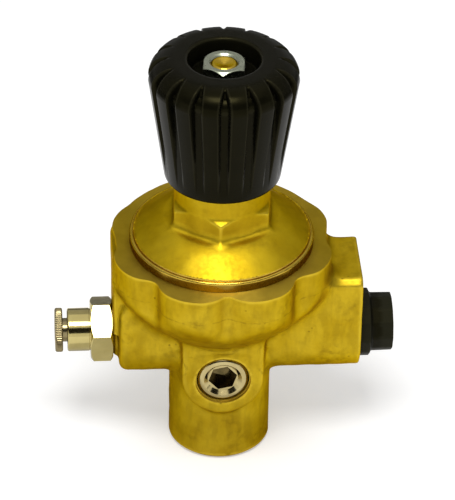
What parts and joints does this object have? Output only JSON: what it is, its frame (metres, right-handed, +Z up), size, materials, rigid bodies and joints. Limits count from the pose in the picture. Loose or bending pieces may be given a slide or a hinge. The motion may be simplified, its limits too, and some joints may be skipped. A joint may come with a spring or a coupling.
{
  "type": "compact gas pressure regulator",
  "caption": "Compact brass pressure regulator for a small gas cylinder, with a fluted hand knob, a screwed bonnet, a push-in hose fitting, a hex-socket plug and a capped gauge port.",
  "frame": {"origin": "on the spindle axis, in the plane of the foot that meets the cylinder valve", "axes": "+Z up the spindle towards the knob, +X along the gauge port with the plastic cap, -X along the push-in hose fitting, -Y out of the plugged front port"},
  "size_m": [0.0804, 0.052, 0.1064],
  "materials": {
    "forged_brass": "blasted forging with machined faces",
    "cast_brass": "bright, finely grained",
    "turned_brass": "turned",
    "nickel": "nickel plated, polished",
    "zinc_steel": "zinc plated",
    "spring_steel": "drawn wire",
    "ball_steel": "polished",
    "knob_plastic": "moulded, satin",
    "cap_plastic": "moulded, matt",
    "seat_plastic": "turned nylon",
    "black_rubber": "smooth",
    "filter_bronze": "sintered"
  },
  "bodies": {
    "housing": {"body": "forged_brass", "bonnet": "cast_brass", "slip_ring": "turned_brass", "diaphragm": "black_rubber", "main_spring": "spring_steel", "nozzle": "turned_brass", "poppet_spring": "spring_steel", "inlet_seal": "black_rubber", "opening_pin": "turned_brass", "inlet_filter": "filter_bronze", "front_plug": "nickel", "front_plug_seal": "black_rubber", "fitting_body": "nickel", "fitting_face_seal": "black_rubber", "tube_seal": "black_rubber"},
    "spring_follower": {"spring_plate": "zinc_steel", "thrust_ball": "ball_steel"},
    "control_knob": {"knob": "knob_plastic", "knob_nut": "zinc_steel", "spindle": "turned_brass"},
    "valve_train": {"diaphragm_plate": "zinc_steel", "diaphragm_pusher": "turned_brass", "valve_pin": "ball_steel", "poppet": "turned_brass", "poppet_seat": "seat_plastic"},
    "release": {"release_ring": "nickel"},
    "cap": {"port_cap": "cap_plastic"}
  },
  "joints": [
    {"name": "screw_travel", "type": "slide", "parent": "housing", "child": "spring_follower", "axis": [0, 0, -1], "range_m": [0, 0.0045], "deforming": ["main_spring"]},
    {"name": "knob_turn", "type": "hinge", "parent": "spring_follower", "child": "control_knob", "pos_m": [0, 0, 0.09], "axis": [0, 0, -1], "range_deg": [0, 1080]},
    {"name": "valve_open", "type": "slide", "parent": "housing", "child": "valve_train", "axis": [0, 0, -1], "range_m": [0, 0.0008], "stiffness_N_per_m": 600, "springref_m": -0.002, "deforming": ["poppet_spring", "diaphragm"]},
    {"name": "release_push", "type": "slide", "parent": "housing", "child": "release", "axis": [1, 0, 0], "range_m": [0, 0.001], "stiffness_N_per_m": 30, "springref_m": -0.001},
    {"name": "cap_pull", "type": "slide", "parent": "housing", "child": "cap", "axis": [1, 0, 0], "range_m": [0, 0.01]}
  ],
  "couplings": [
    {"joint": "knob_turn", "follows": "screw_travel", "rad_per_m": 4188.7}
  ]
}
